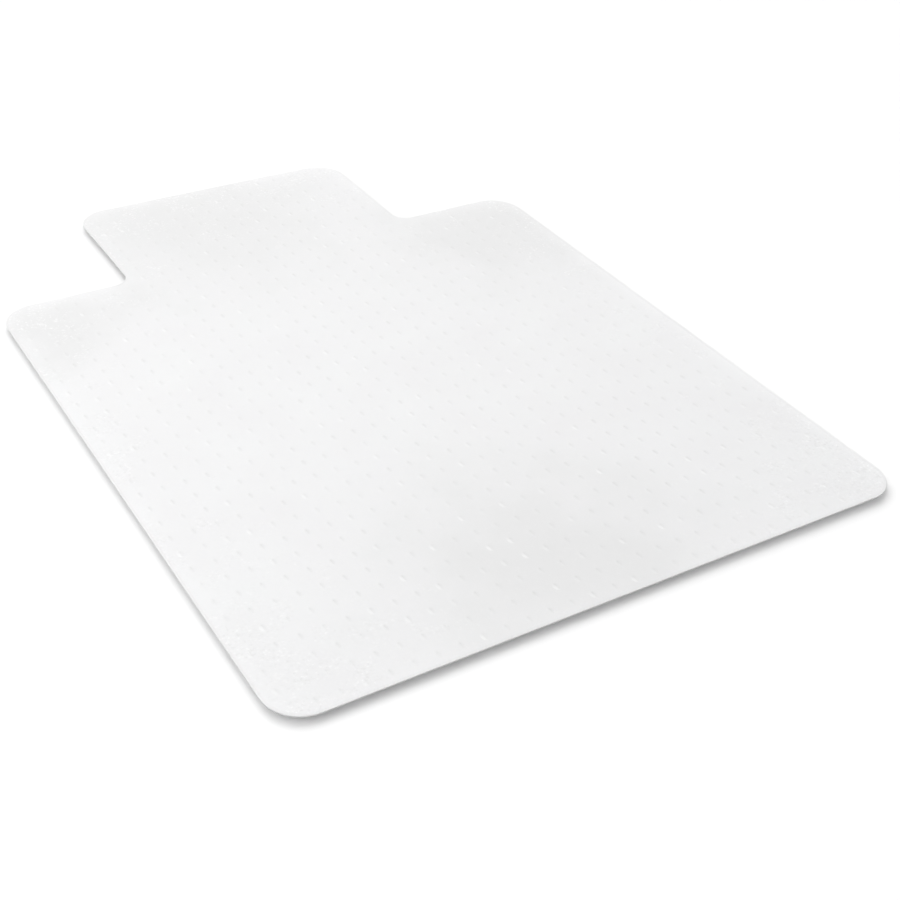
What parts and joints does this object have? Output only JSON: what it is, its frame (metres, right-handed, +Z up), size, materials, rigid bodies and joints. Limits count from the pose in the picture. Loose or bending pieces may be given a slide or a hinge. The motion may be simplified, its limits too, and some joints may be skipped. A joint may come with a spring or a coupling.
{
  "type": "chair mat",
  "caption": "Flat clear frosted vinyl chair mat with rounded corners, a lip for under a desk and rows of carpet studs on its underside.",
  "frame": {"origin": "centre of the mat's outline, on the plane of the stud tips that it stands on", "axes": "+X to the right of someone sitting on the mat and facing the desk, +Y towards the lip, +Z up"},
  "size_m": [0.9144, 1.2192, 0.009],
  "materials": {
    "clear_vinyl": "clear PVC sheet, fine frosted texture on top, smooth studs below"
  },
  "bodies": {
    "root": {"main_panel": "clear_vinyl", "lip_panel": "clear_vinyl"}
  },
  "joints": []
}
